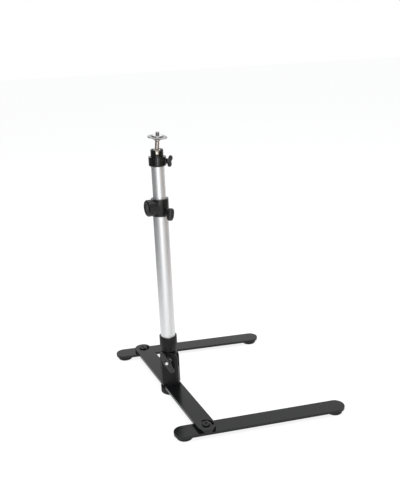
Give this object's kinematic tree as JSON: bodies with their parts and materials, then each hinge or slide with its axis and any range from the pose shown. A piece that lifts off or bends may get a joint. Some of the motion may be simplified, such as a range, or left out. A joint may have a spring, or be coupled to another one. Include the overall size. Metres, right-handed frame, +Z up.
{
  "type": "tabletop shooting stand",
  "caption": "Tabletop shooting stand: a tilting, sliding tube post on a flat crossbar with swinging legs, topped by a small ball head with a camera stud.",
  "frame": {"origin": "on the floor under the post axis, at the centre of the middle foot's underside", "axes": "+Z up along the post, +Y along the crossbar to its far end, +X the way the legs' long ends point when they are square to the crossbar"},
  "size_m": [0.2838, 0.3772, 0.463],
  "materials": {
    "bar_paint": "black powder coat, semi-gloss",
    "foot_rubber": "matte black",
    "screw_steel": "zinc-plated",
    "black_steel": "blackened steel, semi-gloss",
    "nylon": "natural nylon",
    "black_washer": "black nylon",
    "fibre": "pressed fibre",
    "bracket_plastic": "black glass-filled nylon",
    "collar_plastic": "black nylon, slightly shiny",
    "cap_plastic": "dark grey",
    "knob_plastic": "black",
    "tube_aluminium": "satin anodised",
    "spigot_aluminium": "turned",
    "head_plastic": "glossy black",
    "ball_chrome": "polished",
    "stud_steel": "cut thread",
    "disc_aluminium": "bright turned, knurled rim"
  },
  "bodies": {
    "base": {"crossbar": "bar_paint", "centre_foot": "foot_rubber", "centre_foot_screws": "screw_steel", "near_pivot_screw": "black_steel", "near_pivot_washer": "nylon", "near_pivot_nut": "screw_steel", "far_pivot_screw": "black_steel", "far_pivot_washer": "nylon", "far_pivot_nut": "screw_steel", "swivel_washer": "black_washer"},
    "near_leg_body": {"near_leg": "bar_paint", "near_leg_front_foot": "foot_rubber", "near_leg_back_foot": "foot_rubber", "near_leg_foot_screws": "screw_steel", "near_stop_pin": "black_steel"},
    "far_leg_body": {"far_leg": "bar_paint", "far_leg_front_foot": "foot_rubber", "far_leg_back_foot": "foot_rubber", "far_leg_foot_screws": "screw_steel", "far_stop_pin": "black_steel"},
    "bracket": {"tilt_bracket": "bracket_plastic", "swivel_bolt": "screw_steel", "tilt_bolt": "screw_steel", "tilt_friction_discs": "fibre", "tilt_knob_washer": "screw_steel"},
    "tilt_knob_body": {"tilt_knob": "knob_plastic"},
    "post": {"post_socket": "bracket_plastic", "socket_grub_screw": "black_steel", "lower_tube": "tube_aluminium", "lock_collar": "collar_plastic", "collar_boss_cap": "cap_plastic", "collar_fixing_screw": "screw_steel", "lock_pad": "nylon"},
    "collar_knob_body": {"collar_knob_screw": "screw_steel", "collar_knob": "knob_plastic"},
    "slider": {"tube_guide_bush": "nylon"},
    "upper_post": {"upper_tube": "tube_aluminium", "tube_end_cap": "collar_plastic", "head_body": "head_plastic", "head_spigot": "spigot_aluminium", "ball_brake_shoe": "nylon"},
    "head_knob_body": {"head_knob_screw": "screw_steel", "head_knob": "knob_plastic"},
    "ball_body": {"ball": "ball_chrome"},
    "stem_body": {"ball_stem": "ball_chrome", "camera_stud": "stud_steel"},
    "disc_body": {"platform_disc": "disc_aluminium"}
  },
  "joints": [
    {"name": "near_leg_swing", "type": "hinge", "parent": "base", "child": "near_leg_body", "pos_m": [0, -0.145, 0.00875], "axis": [0, 0, 1], "range_deg": [-77.5, 47.5]},
    {"name": "far_leg_swing", "type": "hinge", "parent": "base", "child": "far_leg_body", "pos_m": [0, 0.145, 0.00875], "axis": [0, 0, 1], "range_deg": [-21, 104]},
    {"name": "bracket_swivel", "type": "hinge", "parent": "base", "child": "bracket", "pos_m": [0, 0, 0.02], "axis": [0, 0, 1], "continuous": true},
    {"name": "tilt_knob_turn", "type": "hinge", "parent": "bracket", "child": "tilt_knob_body", "pos_m": [0, 0, 0.0657], "axis": [0.5736, 0.8192, 0], "continuous": true},
    {"name": "post_tilt", "type": "hinge", "parent": "bracket", "child": "post", "pos_m": [0, 0, 0.0657], "axis": [0.5736, 0.8192, 0], "range_deg": [-45, 45]},
    {"name": "collar_knob_turn", "type": "hinge", "parent": "post", "child": "collar_knob_body", "pos_m": [0, 0, 0.3331], "axis": [0.3173, -0.9483, 0], "continuous": true},
    {"name": "tube_slide", "type": "slide", "parent": "post", "child": "slider", "axis": [0, 0, 1], "range_m": [-0.05, 0.155]},
    {"name": "tube_turn", "type": "hinge", "parent": "slider", "child": "upper_post", "pos_m": [0, 0, 0.25], "axis": [0, 0, 1], "continuous": true},
    {"name": "head_knob_turn", "type": "hinge", "parent": "upper_post", "child": "head_knob_body", "pos_m": [0, 0, 0.417], "axis": [0.7431, -0.6691, 0], "continuous": true},
    {"name": "ball_tilt", "type": "hinge", "parent": "upper_post", "child": "ball_body", "pos_m": [0, 0, 0.4295], "axis": [0.9744, -0.225, 0], "range_deg": [-42, 84]},
    {"name": "ball_spin", "type": "hinge", "parent": "ball_body", "child": "stem_body", "pos_m": [0, 0, 0.4295], "axis": [0.0496, -0.1113, 0.9925], "continuous": true},
    {"name": "disc_turn", "type": "hinge", "parent": "stem_body", "child": "disc_body", "pos_m": [0.00124, -0.00278, 0.45431], "axis": [0.0496, -0.1113, 0.9925], "continuous": true}
  ]
}
